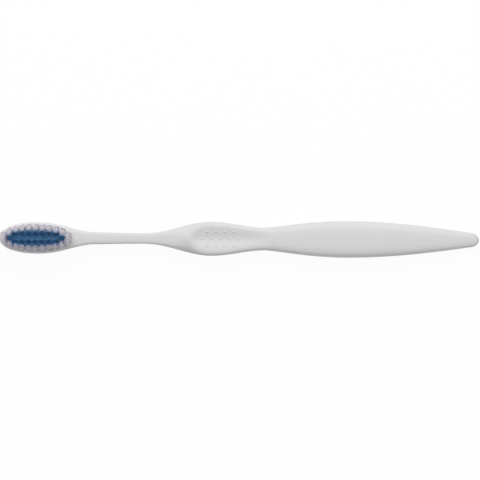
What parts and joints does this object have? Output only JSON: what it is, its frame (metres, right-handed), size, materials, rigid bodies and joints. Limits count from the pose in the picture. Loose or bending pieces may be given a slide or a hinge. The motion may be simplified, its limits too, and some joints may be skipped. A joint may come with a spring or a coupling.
{
  "type": "manual toothbrush",
  "caption": "Manual toothbrush: moulded waisted handle with a dished, dotted thumb rest, slim neck and an oval head with an outer ring and inner rows of anchored bristle tufts.",
  "frame": {"origin": "under the middle of the brush's length, on the surface that its back rests on", "axes": "+X from the head to the tail, +Y to the left of the centre line, +Z the way the bristles point"},
  "size_m": [0.19, 0.0144, 0.0182],
  "materials": {
    "handle_plastic": "satin",
    "blue_bristle": "nylon filament",
    "white_bristle": "clear white nylon filament",
    "anchor_metal": "rolled strip"
  },
  "bodies": {
    "root": {"handle": "handle_plastic", "inner_heel_tuft": "blue_bristle", "inner_toe_tuft": "blue_bristle", "inner_tuft_left_1": "blue_bristle", "inner_tuft_left_2": "blue_bristle", "inner_tuft_left_3": "blue_bristle", "inner_tuft_left_4": "blue_bristle", "inner_tuft_left_5": "blue_bristle", "inner_tuft_left_6": "blue_bristle", "inner_tuft_left_7": "blue_bristle", "inner_tuft_right_1": "blue_bristle", "inner_tuft_right_2": "blue_bristle", "inner_tuft_right_3": "blue_bristle", "inner_tuft_right_4": "blue_bristle", "inner_tuft_right_5": "blue_bristle", "inner_tuft_right_6": "blue_bristle", "inner_tuft_right_7": "blue_bristle", "outer_tuft_left_01": "white_bristle", "outer_tuft_left_02": "white_bristle", "outer_tuft_left_03": "white_bristle", "outer_tuft_left_04": "white_bristle", "outer_tuft_left_05": "white_bristle", "outer_tuft_left_06": "white_bristle", "outer_tuft_left_07": "white_bristle", "outer_tuft_left_08": "white_bristle", "outer_tuft_left_09": "white_bristle", "outer_tuft_left_10": "white_bristle", "outer_tuft_left_11": "white_bristle", "outer_tuft_right_01": "white_bristle", "outer_tuft_right_02": "white_bristle", "outer_tuft_right_03": "white_bristle", "outer_tuft_right_04": "white_bristle", "outer_tuft_right_05": "white_bristle", "outer_tuft_right_06": "white_bristle", "outer_tuft_right_07": "white_bristle", "outer_tuft_right_08": "white_bristle", "outer_tuft_right_09": "white_bristle", "outer_tuft_right_10": "white_bristle", "outer_tuft_right_11": "white_bristle", "tuft_anchors": "anchor_metal"}
  },
  "joints": []
}
